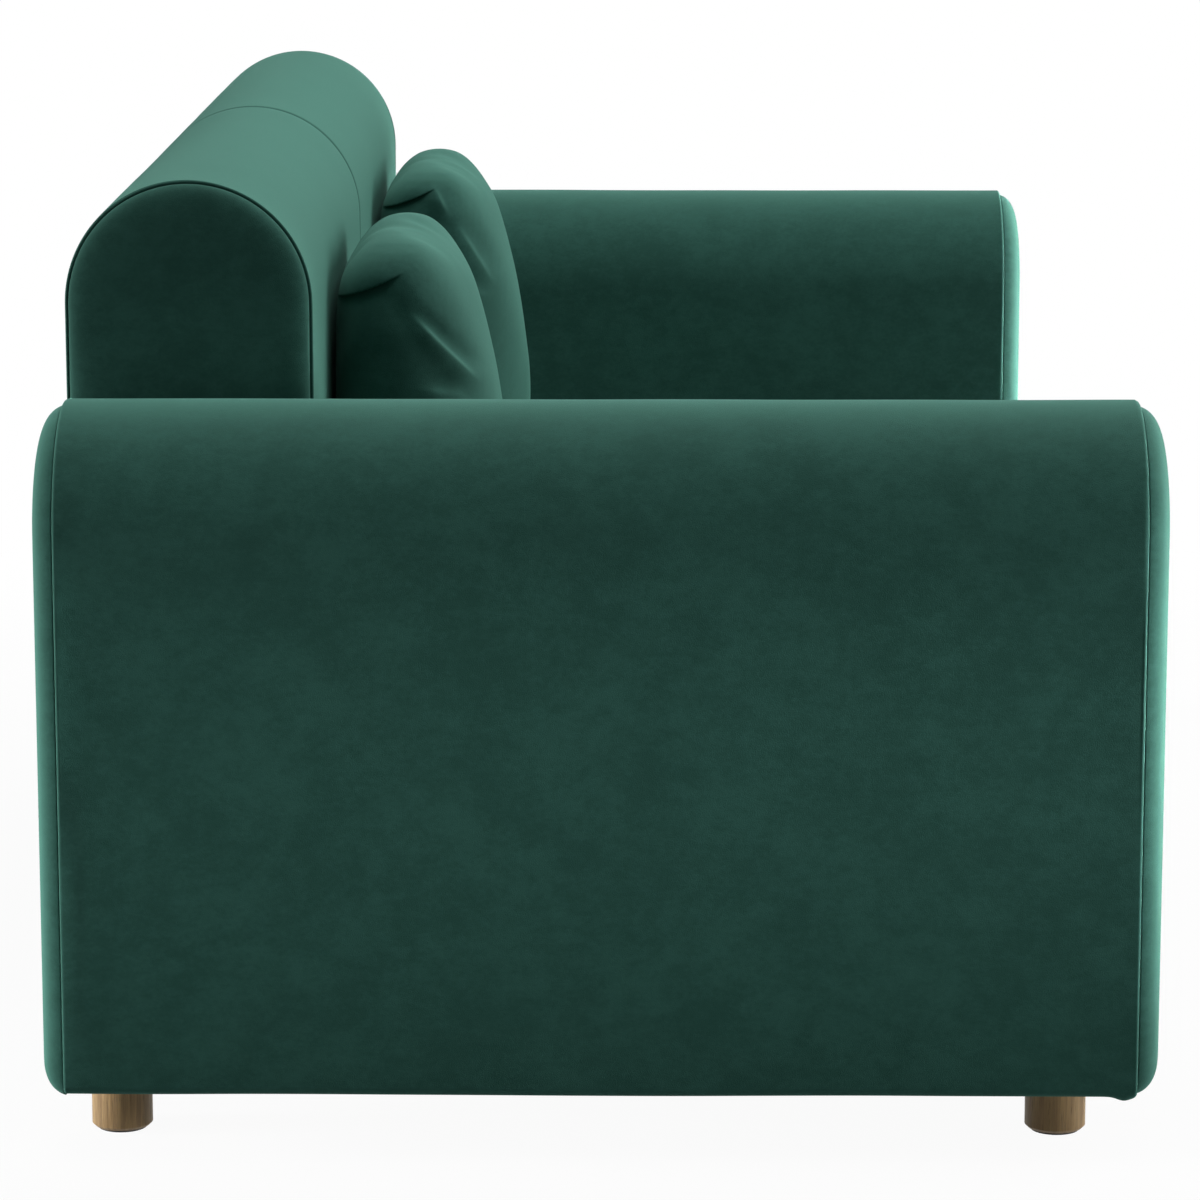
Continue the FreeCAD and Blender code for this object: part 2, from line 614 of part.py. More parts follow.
def build_legs():
    """Four round oak legs, each with a felt glide and a threaded rod up into a tee nut in the arm's board."""
    bolts = []
    nuts = []
    glides = []
    for end, y in LEG_PLACES.items():
        foot = vec(ARM_CENTRE, y, GLIDE)
        leg = rod(foot, UPWARDS, LEG_DIAMETER, BOARD_BOTTOM - GLIDE)
        leg = leg.makeChamfer(LEG_CHAMFER, [edge for edge in leg.Edges if edge.BoundBox.ZMax < GLIDE + 1e-3])
        rod_foot = vec(ARM_CENTRE, y, BOARD_BOTTOM - LEG_BOLT_DEPTH)
        hole = rod(rod_foot, UPWARDS, BOLT_DIAMETER + LAYER_GAP, LEG_BOLT_DEPTH)
        save_pair("leg_" + end + "_%s", leg.cut(hole))
        length = LEG_BOLT_DEPTH + PLY + TEE_FLANGE + BOLT_STICK_OUT
        bolts.append(rod(rod_foot, UPWARDS, BOLT_DIAMETER, length))
        nuts.append(tee_nut(vec(ARM_CENTRE, y, BOARD_TOP), UPWARDS))
        glides.append(rod(vec(ARM_CENTRE, y, 0), UPWARDS, GLIDE_DIAMETER, GLIDE))
    for name, solids in (("leg_bolts", bolts), ("leg_tee_nuts", nuts), ("leg_glides", glides)):
        save(name, *solids, *[mirrored(solid) for solid in solids])


def build_frame_fixings(arm_bolts, back_bolts):
    """The bolts and tee nuts that hold the arms and the back to the base."""
    for name, part in (("frame_bolts", "bolt"), ("frame_tee_nuts", "nut")):
        right = [getattr(fixing, part) for fixing in arm_bolts]
        behind = [getattr(fixing, part) for fixing in back_bolts]
        save(name, *right, *[mirrored(solid) for solid in right], *behind)


def main():
    os.makedirs("parts", exist_ok=True)
    arm_bolts = arm_fixings()
    back_bolts = back_fixings()
    build_arms(arm_bolts)
    build_back(back_bolts)
    build_base(arm_bolts, back_bolts)
    build_cushions()
    build_legs()
    build_frame_fixings(arm_bolts, back_bolts)


main()
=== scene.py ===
"""Two-seater sofa in green velvet: soft goods, finishes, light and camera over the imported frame.

Metres, in the frame's own axes: X along the sofa, the front faces -Y and Z is up.
"""
import json
import math

import bmesh
import bpy
import numpy as np
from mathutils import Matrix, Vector, noise


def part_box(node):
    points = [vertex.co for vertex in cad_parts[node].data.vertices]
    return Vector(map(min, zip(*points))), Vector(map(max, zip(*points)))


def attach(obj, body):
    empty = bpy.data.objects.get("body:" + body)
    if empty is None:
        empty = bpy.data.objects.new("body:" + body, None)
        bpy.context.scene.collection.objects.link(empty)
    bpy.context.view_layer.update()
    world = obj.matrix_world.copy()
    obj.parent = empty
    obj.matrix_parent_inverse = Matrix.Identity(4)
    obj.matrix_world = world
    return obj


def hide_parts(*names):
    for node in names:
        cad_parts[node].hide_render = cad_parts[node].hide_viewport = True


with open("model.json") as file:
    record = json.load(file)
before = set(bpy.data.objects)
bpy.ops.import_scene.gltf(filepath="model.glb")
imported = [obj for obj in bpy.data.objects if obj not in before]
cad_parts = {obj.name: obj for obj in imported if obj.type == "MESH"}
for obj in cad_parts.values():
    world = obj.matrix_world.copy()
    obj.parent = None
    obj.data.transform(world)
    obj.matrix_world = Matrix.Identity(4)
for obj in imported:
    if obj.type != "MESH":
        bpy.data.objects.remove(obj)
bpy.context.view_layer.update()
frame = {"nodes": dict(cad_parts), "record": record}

SIDES = ("left", "right")

# the velvet's colours: seen straight on, the clouds in its nap, and a painted sheen that pales it where it
# is seen at a grazing angle
PILE_DEEP = (0.0200, 0.0800, 0.0620, 1)
PILE_CLOUD = (0.0300, 0.1090, 0.0860, 1)
PAINTED_SHEEN_COLOUR = (0.096, 0.271, 0.216, 1)
# how quickly the painted sheen comes in as the surface turns away from the view
PAINTED_SHEEN_POWER = 1.65

# wraps: the lips at their ends, and the way in from a lip as distance along and depth
WRAP_LIP = 0.003
BACK_LIP = 0.0015
SEAM_LIP = 0.008
LIP_GROOVE = ((0.010, 0.010), (0.004, 0.0065), (0.001, 0.003))
WRAP_CORNER = 0.008
WRAP_WAVE = (0.14, 0.0007)

# padded facings and caps: the edge that comes out of the groove, as inset and rise, then the crown
PANEL_EDGE = ((0.012, -0.002), (0.005, -0.0006), (0.0016, -0.0004), (0.0003, 0.0003))
FACING_CORNER = 0.024
ARM_FACING_REACH = 0.011
BACK_CAP_REACH = 0.008
CROWN_POWER = 0.75
FACING_DROP = {"front": 0.005, "rear": 0.0085}
CAP_GROWTH = 0.0022

# the small fold in the hem at an arm's front lower corner
HEM_FOLD = 0.0032
HEM_FOLD_PLACE = 0.010
HEM_FOLD_REACH = 0.0075
HEM_FOLD_HEIGHT = 0.012
HEM_FINE_SECTIONS = (0.002, 0.026, 13)

# the border on the front rail
BORDER_ROUND = 0.016
BORDER_REAR_ROUND = 0.003
BORDER_CROWN = 0.004
BORDER_END = 0.012
BORDER_END_INSET = 0.004
BORDER_WAVE = (0.09, 0.0008)

# scatter cushions: a pinched square, scaled through the depth
SCATTER_SQUARENESS = 4.2
SCATTER_PINCH = 0.035
SCATTER_SAG = 0.095
SCATTER_WIDEST = 0.45
SCATTER_BROADEST = 0.33
SCATTER_BACK_SCALE = 0.8
SCATTER_FRONT_CUT = 0.985
SCATTER_BACK_EASE = 0.012
SCATTER_ROUNDING_ACROSS = 1.65
SCATTER_ROUNDING_UP = 1.7
SCATTER_INSET = 0.005
SCATTER_REAR_GAP = 0.004
SCATTER_MESH = 0.006
SCATTER_PRESSURE = 4.0
SCATTER_SWELLING = 0.009
SCATTER_IRONING = 28

# seat cushions: boxed, with a seam near the top and the bottom
SEAT_SQUARENESS = 13.0
SEAT_PINCH = 0.008
SEAT_CLEARANCE = np.array((0.0003, 0.0, 0.0002))
SEAT_EASE_LOW = np.array((0.007, 0.007, 0.002))
SEAT_EASE_HIGH = np.array((0.007, 0.007, 0.010))
SEAT_SWELL = (0.955, 0.16, 0.70, 5)
SEAT_TOP_CUT = 0.997
SEAT_INSET = 0.008
SEAT_FOOT = 0.004
SEAT_LOSS = 0.012
SEAT_MESH = 0.0075
SEAT_PRESSURE = 3.0
SEAT_SWELLING = 0.012
SEAT_IRONING = 14
SEAT_SEAMS = (0.026, 0.030)
SEAT_SEAM_WIDTH = 0.0032
SEAT_SEAM_DEPTH = 0.0035
SEAT_CREASES = 0.0018
SEAT_CREASE_PLACE = {"left": 3.1, "right": 8.7}
FILL_STEPS = 13

# the deck under the seat cushions
STRAP_WIDTH = 0.060
STRAP_ROWS = 24
STRAP_COLUMNS = (0, 0.04, 0.5, 0.96, 1)
STRAP_DIP = 0.0007
STRAP_EDGE = 0.0004
FELT_DROP = 0.0004
FELT_SINK = 0.0016
DUST_DROP = 0.0006
DUST_SAG = 0.004

# the stage; each lamp has a name, a place, an aim, a width, a height, its power and its spread in degrees
WORLD_LIGHT = 0.094
FLOOR_SHADE = (0.30, 0.30, 0.30, 1)
FLOOR_WHITE = (0.90, 0.90, 0.90, 1)
FLOOR_GLOW = 0.95
FLOOR_SHADOW_REACH = (1.0, 2.0)
LAMPS = (
    ("overhead", (-0.12, 0.0, 3.4), (-0.1, 0.0, 0.0), 3.2, 3.2, 58, 180),
    ("front_soft", (0.5, -3.4, 2.2), (-0.1, 0.0, 0.5), 2.6, 2.6, 78, 180),
    ("front_left_strip", (-1.22, -3.2, 0.44), (-0.95, -0.45, 0.36), 0.2, 0.4, 1.25, 12),
    ("front_right_strip", (0.70, -3.2, 0.44), (0.82, -0.45, 0.42), 0.2, 0.3, 1.5, 12),
    ("rear_left_strip", (-1.05, 3.2, 0.75), (-0.80, 0.45, 0.22), 0.6, 0.6, 2.5, 24),
    ("rear_right_strip", (1.05, 3.2, 0.75), (0.80, 0.45, 0.22), 0.6, 0.6, 2.5, 24),
)

# the camera, from beyond the left arm
CAMERA_PLACE = (-4.6473, -0.0354, 1.1901)
CAMERA_YAW = 0.0094
CAMERA_PITCH = 0.1911
CAMERA_LENS = 145.5


class Value:
    """A shader value; plain arithmetic on it adds Math nodes."""

    def __init__(self, finish, socket):
        self.finish = finish
        self.socket = socket

    def joined(self, operation, first, second):
        return self.finish.add("ShaderNodeMath", {"operation": operation}, {0: first, 1: second})

    def __add__(self, other):
        return self.joined("ADD", self, other)

    def __sub__(self, other):
        return self.joined("SUBTRACT", self, other)

    def __rsub__(self, other):
        return self.joined("SUBTRACT", other, self)

    def __mul__(self, other):
        return self.joined("MULTIPLY", self, other)

    def __pow__(self, other):
        return self.joined("POWER", self, other)

    __radd__ = __add__
    __rmul__ = __mul__


class Finish:
    """A node-built finish for one kind of surface, or the world."""

    def __init__(self, owner):
        owner.use_nodes = True
        self.owner = owner
        self.tree = owner.node_tree
        self.tree.nodes.clear()

    def add(self, kind, settings=None, inputs=None, out=0):
        """Adds a node: its settings first, then its sockets. Gives one of its outputs."""
        node = self.tree.nodes.new(kind)
        for key, value in (settings or {}).items():
            setattr(node, key, value)
        for key, value in (inputs or {}).items():
            if isinstance(value, Value):
                self.tree.links.new(value.socket, node.inputs[key])
            else:
                node.inputs[key].default_value = value
        return Value(self, node.outputs[out]) if node.outputs else None

    def place(self, stretch=(1, 1, 1)):
        """The point on the piece, in metres, stretched along the axes."""
        point = self.add("ShaderNodeTexCoord", out="Object")
        return self.add("ShaderNodeVectorMath", {"operation": "MULTIPLY"}, {0: point, 1: stretch})

    def noise(self, scale, detail=3.0, stretch=(1, 1, 1), roughness=0.5):
        values = {"Vector": self.place(stretch), "Scale": scale, "Detail": detail, "Roughness": roughness}
        return self.add("ShaderNodeTexNoise", {}, values)

    def between(self, value, low, high):
        """Maps low..high to 0..1, eased at both ends."""
        values = {"Value": value, "From Min": low, "From Max": high}
        return self.add("ShaderNodeMapRange", {"interpolation_type": "SMOOTHSTEP"}, values)

    def mixed(self, share, first, second):
        return self.add("ShaderNodeMix", {"data_type": "RGBA"}, {0: share, 6: first, 7: second}, out=2)

    def surface(self, colour, roughness, height=None, depth=0.0, constants=None):
        """Ends the finish in one surface shader, with bumps of the given depth."""
        values = {"Base Color": colour, "Roughness": roughness}
        if height is not None:
            values["Normal"] = self.add("ShaderNodeBump", {}, {"Height": height, "Distance": depth})
        values.update(constants or {})
        shader = self.add("ShaderNodeBsdfPrincipled", {}, values)
        self.add("ShaderNodeOutputMaterial", {}, {"Surface": shader})
        return self.owner


def new_finish(name):
    return Finish(bpy.data.materials.new(name))


def velvet_finish():
    """Short-pile velvet: dark seen straight on, with clouds in its nap, and a painted sheen that pales its
    colour where it is seen at a grazing angle.
    """
    made = new_finish("green_velvet")
    clouds = made.noise(16, 5, roughness=0.62)
    strokes = made.noise(85, 4, (1, 0.6, 1), 0.68)
    specks = made.noise(330, 3, (1, 0.7, 1), 0.7)
    fibres = made.noise(1500, 2)
    nap = made.between(clouds * 0.42 + strokes * 0.34 + specks * 0.24, 0.38, 0.63)
    pile = made.mixed(nap, PILE_DEEP, PILE_CLOUD)
    # painted sheen: the base colour pales towards the sheen colour where the surface is seen at a grazing
    # angle
    painted_sheen_share = made.add("ShaderNodeLayerWeight", {}, {"Blend": 0.5}, out="Facing")
    colour = made.mixed(painted_sheen_share ** PAINTED_SHEEN_POWER, pile, PAINTED_SHEEN_COLOUR)
    constants = {
        "Sheen Weight": 0.04,
        "Sheen Roughness": 0.42,
        "Sheen Tint": (0.46, 0.84, 0.72, 1),
        "Specular IOR Level": 0.12,
    }
    return made.surface(colour, 0.82, fibres * 0.7 + strokes * 0.3, 0.0005, constants)


def wood_finish(name, pale, dark, grain, roughness, stretch=(1, 1, 0.05)):
    """Wood with long grain, pores and a slow drift of colour."""
    made = new_finish(name)
    drift = made.noise(9, 3, stretch)
    lines = made.noise(grain, 5, stretch, 0.65)
    pores = made.between(made.noise(grain * 5, 2, stretch), 0.60, 0.72)
    share = made.between(lines * 0.75 + drift * 0.25, 0.34, 0.66)
    colour = made.mixed(share, dark, pale)
    colour = made.mixed(pores * 0.45, colour, tuple(0.55 * c for c in dark[:3]) + (1,))
    return made.surface(colour, roughness + pores * 0.15, lines * 0.5 - pores * 0.5, 0.0004)


def cloth_finish(name, pale, dark, pitch, depth):
    """A coarse woven or felted cloth."""
    made = new_finish(name)
    wave = "ShaderNodeTexWave"
    across = made.add(wave, {"bands_direction": "X"}, {"Vector": made.place(), "Scale": pitch})
    along = made.add(wave, {"bands_direction": "Y"}, {"Vector": made.place(), "Scale": pitch})
    fluff = made.noise(420, 4)
    weave = across * along
    colour = made.mixed(made.between(weave * 0.5 + fluff * 0.5, 0.15, 0.75), dark, pale)
    return made.surface(colour, 0.9, weave * 0.6 + fluff * 0.4, depth)


def felt_finish(name, pale, dark):
    """Pressed fibres, mottled."""
    made = new_finish(name)
    fibres = made.noise(520, 5, roughness=0.7)
    tufts = made.noise(60, 3)
    colour = made.mixed(made.between(fibres * 0.6 + tufts * 0.4, 0.32, 0.68), dark, pale)
    return made.surface(colour, 0.95, fibres, 0.0008)


def steel_finish():
    made = new_finish("zinc_steel")
    scratches = made.noise(300, 4, (1, 1, 0.08))
    colour = made.mixed(scratches, (0.50, 0.51, 0.52, 1), (0.68, 0.68, 0.67, 1))
    return made.surface(colour, 0.28 + scratches * 0.25, scratches, 0.0001, {"Metallic": 1.0})


FINISHES = {
    "velvet": velvet_finish(),
    "oak": wood_finish("pale_oak", (0.55, 0.362, 0.160, 1), (0.28, 0.160, 0.062, 1), 240, 0.5),
    "plywood": wood_finish(
        "birch_plywood", (0.74, 0.57, 0.36, 1), (0.52, 0.35, 0.19, 1), 60, 0.6, (1, 0.3, 0.1)
    ),
    "timber": wood_finish(
        "softwood", (0.76, 0.60, 0.38, 1), (0.60, 0.41, 0.22, 1), 50, 0.6, (0.08, 0.3, 1)
    ),
    "hardboard": felt_finish("hardboard", (0.34, 0.22, 0.13, 1), (0.20, 0.12, 0.06, 1)),
    "foam": felt_finish("cream_foam", (0.82, 0.78, 0.62, 1), (0.70, 0.66, 0.48, 1)),
    "felt": felt_finish("grey_felt", (0.13, 0.13, 0.127, 1), (0.070, 0.070, 0.070, 1)),
    "webbing": cloth_finish("webbing", (0.13, 0.13, 0.12, 1), (0.04, 0.04, 0.04, 1), 190, 0.0006),
    "dust_cloth": cloth_finish(
        "dust_cloth", (0.045, 0.045, 0.045, 1), (0.016, 0.016, 0.016, 1), 320, 0.0003
    ),
    "steel": steel_finish(),
}


def mesh_piece(name, points, faces):
    """A smooth-shaded piece with its normals outwards."""
    mesh = bpy.data.meshes.new(name)
    mesh.from_pydata([tuple(p) for p in points], [], faces)
    shaped = bmesh.new()
    shaped.from_mesh(mesh)
    bmesh.ops.recalc_face_normals(shaped, faces=shaped.faces)
    shaped.to_mesh(mesh)
    shaped.free()
    mesh.polygons.foreach_set("use_smooth", [True] * len(mesh.polygons))
    piece = bpy.data.objects.new(name, mesh)
    bpy.context.scene.collection.objects.link(piece)
    return piece


def skin(name, rings):
    """A closed piece through rings of points, with a face over the first and the last."""
    around = len(rings[0])
    faces = [tuple(range(around)), tuple(range((len(rings) - 1) * around, len(rings) * around))]
    for k in range(len(rings) - 1):
        for i in range(around):
            j = (i + 1) % around
            faces.append((k * around + i, k * around + j, (k + 1) * around + j, (k + 1) * around + i))
    return mesh_piece(name, [p for ring in rings for p in ring], faces)


def dress(piece, body, slot, nodes):
    """Gives a piece its finish and its body, and hides the solids that it stands for."""
    piece.data.materials.append(FINISHES[slot])
    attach(piece, body)
    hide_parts(*nodes)


def arch(low, high, inset, corner):
    """Points round an arch-topped outline, drawn in by inset: across and up."""
    middle = (low[0] + high[0]) / 2
    half = (high[0] - low[0]) / 2 - inset
    spring = high[1] - (high[0] - low[0]) / 2
    floor = low[1] + inset
    r = min(max(corner - inset, 0.0015), half * 0.9)
    right = [(u, floor) for u in np.linspace(0, half - r, 9)]
    for turn in np.linspace(-math.pi / 2, 0, 7)[1:]:
        right.append((half - r + r * math.cos(turn), floor + r + r * math.sin(turn)))
    right += [(half, up) for up in np.linspace(floor + r, spring, 26)[1:]]
    for turn in np.linspace(0, math.pi / 2, 34)[1:]:
        right.append((half * math.cos(turn), spring + half * math.sin(turn)))
    left = [(-u, up) for u, up in right[-2:0:-1]]
    return [(middle + u, up) for u, up in right + left]


def lip(end, inward, radius):
    """Sections from inside a wrap's end, out round its rounded lip: place along the wrap, and inset."""
    sections = [(end + inward * along, radius + deep) for along, deep in LIP_GROOVE]
    for turn in np.linspace(0, math.pi / 2, 8):
        sections.append((end + inward * radius * (1 - math.cos(turn)), radius * (1 - math.sin(turn))))
    return sections


def wavy(point, size, amount):
    """A small smooth unevenness of hand-laid cloth."""
    return noise.noise(Vector(point) / size) * amount


def fold_depth(along, up):
    """How far the folded hem hangs down, by the way from the wrap's end and up from its lower edge."""
    hanging = HEM_FOLD * math.exp(-((along - HEM_FOLD_PLACE) / HEM_FOLD_REACH) ** 2)
    return hanging * max(0, 1 - abs(up) / HEM_FOLD_HEIGHT)


def uneven(point):
    """Moves a point of a wrap by its small unevenness along each axis."""
    x, y, z = point
    return tuple(part + wavy((x + k, y, z), *WRAP_WAVE) for k, part in enumerate(point))


def across_arm(across, along, up):
    """A place on an arm's wrap, which runs along Y."""
    return across, along, up


def across_back(across, along, up):
    """A place on the back's wrap, which runs along X."""
    return along, across, up


def wrap(name, low, high, start, end, lips, place, fold=False):
    """Velvet over an arch, from start to end, with a rounded lip at each end."""
    sections = lip(start, 1, lips[0])
    sections += [(start + lips[0] + step, 0) for step in np.linspace(*HEM_FINE_SECTIONS)]
    fine_end = start + lips[0] + HEM_FINE_SECTIONS[1]
    sections += [(along, 0) for along in np.linspace(fine_end, end - lips[1], 40)[1:-1]]
    sections += lip(end, -1, lips[1])[::-1]
    rings = []
    for along, inset in sections:
        ring = [place(across, along, up) for across, up in arch(low, high, inset, WRAP_CORNER)]
        if inset == 0:
            ring = [uneven(point) for point in ring]
        if fold:
            ring = [(x, y, z - fold_depth(along - start, z - low[1])) for x, y, z in ring]
        rings.append(ring)
    return skin(name, rings)


def padded_panel(name, low, high, depth, reach, place):
    """A domed end panel: out of the groove, round its edge, then a crown that soon flattens."""
    half = (high[0] - low[0]) / 2
    sections = list(PANEL_EDGE)
    outer = half * np.linspace(0.012, 0.75, 22) ** 2
    inner = np.linspace(0.66, 0.985, 6) * half
    for inset in np.concatenate((outer, inner)):
        sections.append((inset, depth * (1 - math.exp(-((inset / reach) ** CROWN_POWER)))))
    rings = []
    for inset, rise in sections:
        rings.append([place(across, rise, up) for across, up in arch(low, high, inset, FACING_CORNER)])
    return skin(name, rings)


def arm_end(base, outward):
    """Gives the places of a panel on an arm's end, that rises outwards along Y."""
    def place(x, rise, z):
        return x, base + outward * rise, z

    return place


def back_end(base, outward):
    """Gives the places of a cap on the back's end, that rises outwards along X."""
    def place(y, rise, z):
        return base + outward * rise, y, z

    return place


def make_arm(side):
    """One arm: the wrap and its two padded facings."""
    arm = side + "_arm_"
    low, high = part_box(arm + "cover")
    outline = (low[0], low[2]), (high[0], high[2])
    lips = (WRAP_LIP, WRAP_LIP)
    body = wrap(arm + "wrap", *outline, low[1], high[1], lips, across_arm, True)
    dress(body, "frame", "velvet", [arm + "cover", arm + "foam"])
    for end, node, also in (
        ("front", arm + "front_facing_cover", [arm + "facing_foams"]),
        ("rear", arm + "rear_facing_cover", []),
    ):
        low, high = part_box(node)
        outline = (low[0], low[2] - FACING_DROP[end]), (high[0], high[2])
        place = arm_end(high[1], -1) if end == "front" else arm_end(low[1], 1)
        depth = high[1] - low[1]
        panel = padded_panel(arm + end + "_facing", *outline, depth, ARM_FACING_REACH, place)
        dress(panel, "frame", "velvet", [node] + also)


def make_back():
    """The back roll: two wraps that meet in the middle, and a padded cap in each end."""
    for side in SIDES:
        low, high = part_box("back_cover_" + side)
        outline = (low[1], low[2]), (high[1], high[2])
        lips = (BACK_LIP, SEAM_LIP) if side == "left" else (SEAM_LIP, BACK_LIP)
        half = wrap("back_wrap_" + side, *outline, low[0], high[0], lips, across_back)
        dress(half, "frame", "velvet", ["back_cover_" + side, "back_foam_" + side])
        node = "back_end_cover_" + side
        low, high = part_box(node)
        outline = (low[1] - CAP_GROWTH, low[2]), (high[1] + CAP_GROWTH, high[2] + CAP_GROWTH)
        place = back_end(high[0], -1) if side == "left" else back_end(low[0], 1)
        cap = padded_panel("back_cap_" + side, *outline, high[0] - low[0], BACK_CAP_REACH, place)
        also = ["back_end_foams"] if side == "left" else []
        dress(cap, "frame", "velvet", [node] + also)


def rounded_section(low, high, front, rear):
    """A crowned bar section, round at the front and square behind: along Y and up."""
    points = []
    centre, middle = (low[0] + high[0]) / 2, (low[1] + high[1]) / 2
    tall = (high[1] - low[1]) / 2
    corners = (
        (low[0], low[1], front, 180),
        (high[0], low[1], rear, 270),
        (high[0], high[1], rear, 0),
        (low[0], high[1], front, 90),
    )
    for across, up, r, first in corners:
        hub_y = across + math.copysign(r, centre - across)
        hub_z = up + math.copysign(r, middle - up)
        for turn in np.radians(np.linspace(first, first + 90, 9)):
            points.append((hub_y + r * math.cos(turn), hub_z + r * math.sin(turn)))
        if across == low[0] and up == high[1]:
            for rise in np.linspace(high[1] - r, low[1] + r, 22)[1:-1]:
                points.append((low[0], rise))
    crowned = []
    for y, z in points:
        share = max(0.0, 1 - ((z - middle) / tall) ** 2)
        forward = max(0.0, 1 - (y - low[0]) / (high[0] - low[0]))
        crowned.append((y + BORDER_CROWN * (1 - share) * forward, z))
    return crowned


def make_border():
    """The padded velvet border along the front rail."""
    low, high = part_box("border_cover")
    sections = []
    for x in np.linspace(low[0], high[0], 70):
        near_end = min(x - low[0], high[0] - x)
        sections.append((x, BORDER_END_INSET * max(0.0, 1 - near_end / BORDER_END) ** 2))
    rings = []
    for x, inset in sections:
        lowest, highest = (low[1] + inset, low[2] + inset), (high[1], high[2] - inset)
        section = rounded_section(lowest, highest, BORDER_ROUND, BORDER_REAR_ROUND)
        rings.append([(x, y + wavy((x, y, z), *BORDER_WAVE), z) for y, z in section])
    dress(skin("front_border", rings), "frame", "velvet", ["border_cover", "border_foam"])


def swell(share, base, rise, fall, power):
    """A cushion's width at a share of its depth: growing from base to full at rise, closing after fall."""
    if share < rise:
        return 1 - (1 - base) * (1 - share / rise) ** 3
    return (1 - (max(share - fall, 0) / (1 - fall)) ** power) ** 0.5


def pinched_square(squareness, pinch, count=120):
    """A square of half-width 1 with round corners and sides that draw in between them."""
    points = []
    for i in range(count):
        turn = 2 * math.pi * (i + 0.5) / count
        drawn = 1 - pinch * math.cos(2 * turn) ** 2
        parts = (math.cos(turn), math.sin(turn))
        points.append([math.copysign(abs(part) ** (2 / squareness), part) * drawn for part in parts])
    reach = max(a for a, b in points)
    return [(a / reach, b / reach) for a, b in points]


def even_mesh(piece, voxel):
    """Remeshes a closed piece into even squares."""
    change = piece.modifiers.new("even", "REMESH")
    change.mode = "VOXEL"
    change.voxel_size = voxel
    keep_result(piece)


def keep_result(piece):
    """Applies a piece's modifiers to its mesh."""
    graph = bpy.context.evaluated_depsgraph_get()
    made = bpy.data.meshes.new_from_object(piece.evaluated_get(graph))
    piece.modifiers.clear()
    old = piece.data
    piece.data = made
    bpy.data.meshes.remove(old)
    made.polygons.foreach_set("use_smooth", [True] * len(made.polygons))


def corners_of(mesh):
    points = np.empty(len(mesh.vertices) * 3)
    mesh.vertices.foreach_get("co", points)
    return points.reshape(-1, 3)


def set_corners(mesh, points):
    mesh.vertices.foreach_set("co", np.ascontiguousarray(points, np.float32).ravel())
    mesh.update()


def fill_with_air(piece, pressure, cap):
    """Swells a closed piece as cloth under pressure; no point moves further than cap."""
    before = corners_of(piece.data)
    cloth = piece.modifiers.new("fill", "CLOTH")
    cloth.settings.use_pressure = True
    cloth.settings.uniform_pressure_force = pressure
    cloth.settings.effector_weights.gravity = 0
    scene = bpy.context.scene
    for step in range(1, FILL_STEPS + 1):
        scene.frame_set(step)
    graph = bpy.context.evaluated_depsgraph_get()
    after = corners_of(piece.evaluated_get(graph).data)
    piece.modifiers.clear()
    scene.frame_set(1)
    moved = after - before
    reach = np.linalg.norm(moved, axis=1, keepdims=True)
    set_corners(piece.data, before + moved * np.minimum(1, cap / np.maximum(reach, 1e-9)))


def ironed(piece, passes):
    """Smooths the small crinkles out of a piece."""
    change = piece.modifiers.new("ironed", "SMOOTH")
    change.factor = 0.5
    change.iterations = passes
    keep_result(piece)


def finer(piece):
    """Subdivides a piece once and keeps the result."""
    change = piece.modifiers.new("finer", "SUBSURF")
    change.levels = 1
    change.render_levels = 1
    keep_result(piece)


def finer_where(piece, chosen):
    """Halves the edges of the faces whose middles a test picks out."""
    shaped = bmesh.new()
    shaped.from_mesh(piece.data)
    picked = {face.index for face in shaped.faces if chosen(face.calc_center_median())}
    edges = [edge for edge in shaped.edges if any(face.index in picked for face in edge.link_faces)]
    bmesh.ops.subdivide_edges(shaped, edges=edges, cuts=1, use_grid_fill=True)
    shaped.to_mesh(piece.data)
    shaped.free()


def eased(value, low, high):
    """0 below low, 1 above high, smooth between."""
    share = np.clip((value - low) / (high - low), 0, 1)
    return share * share * (3 - 2 * share)


def facing_out(mesh):
    normals = np.empty(len(mesh.vertices) * 3)
    mesh.vertex_normals.foreach_get("vector", normals)
    return normals.reshape(-1, 3)


def kept_below(values, limit, ease):
    """Eases values to stay below a limit, with no hard edge where they reach it."""
    over = np.maximum(values - limit + ease, 0)
    return values - over + ease * (1 - np.exp(-over / ease))


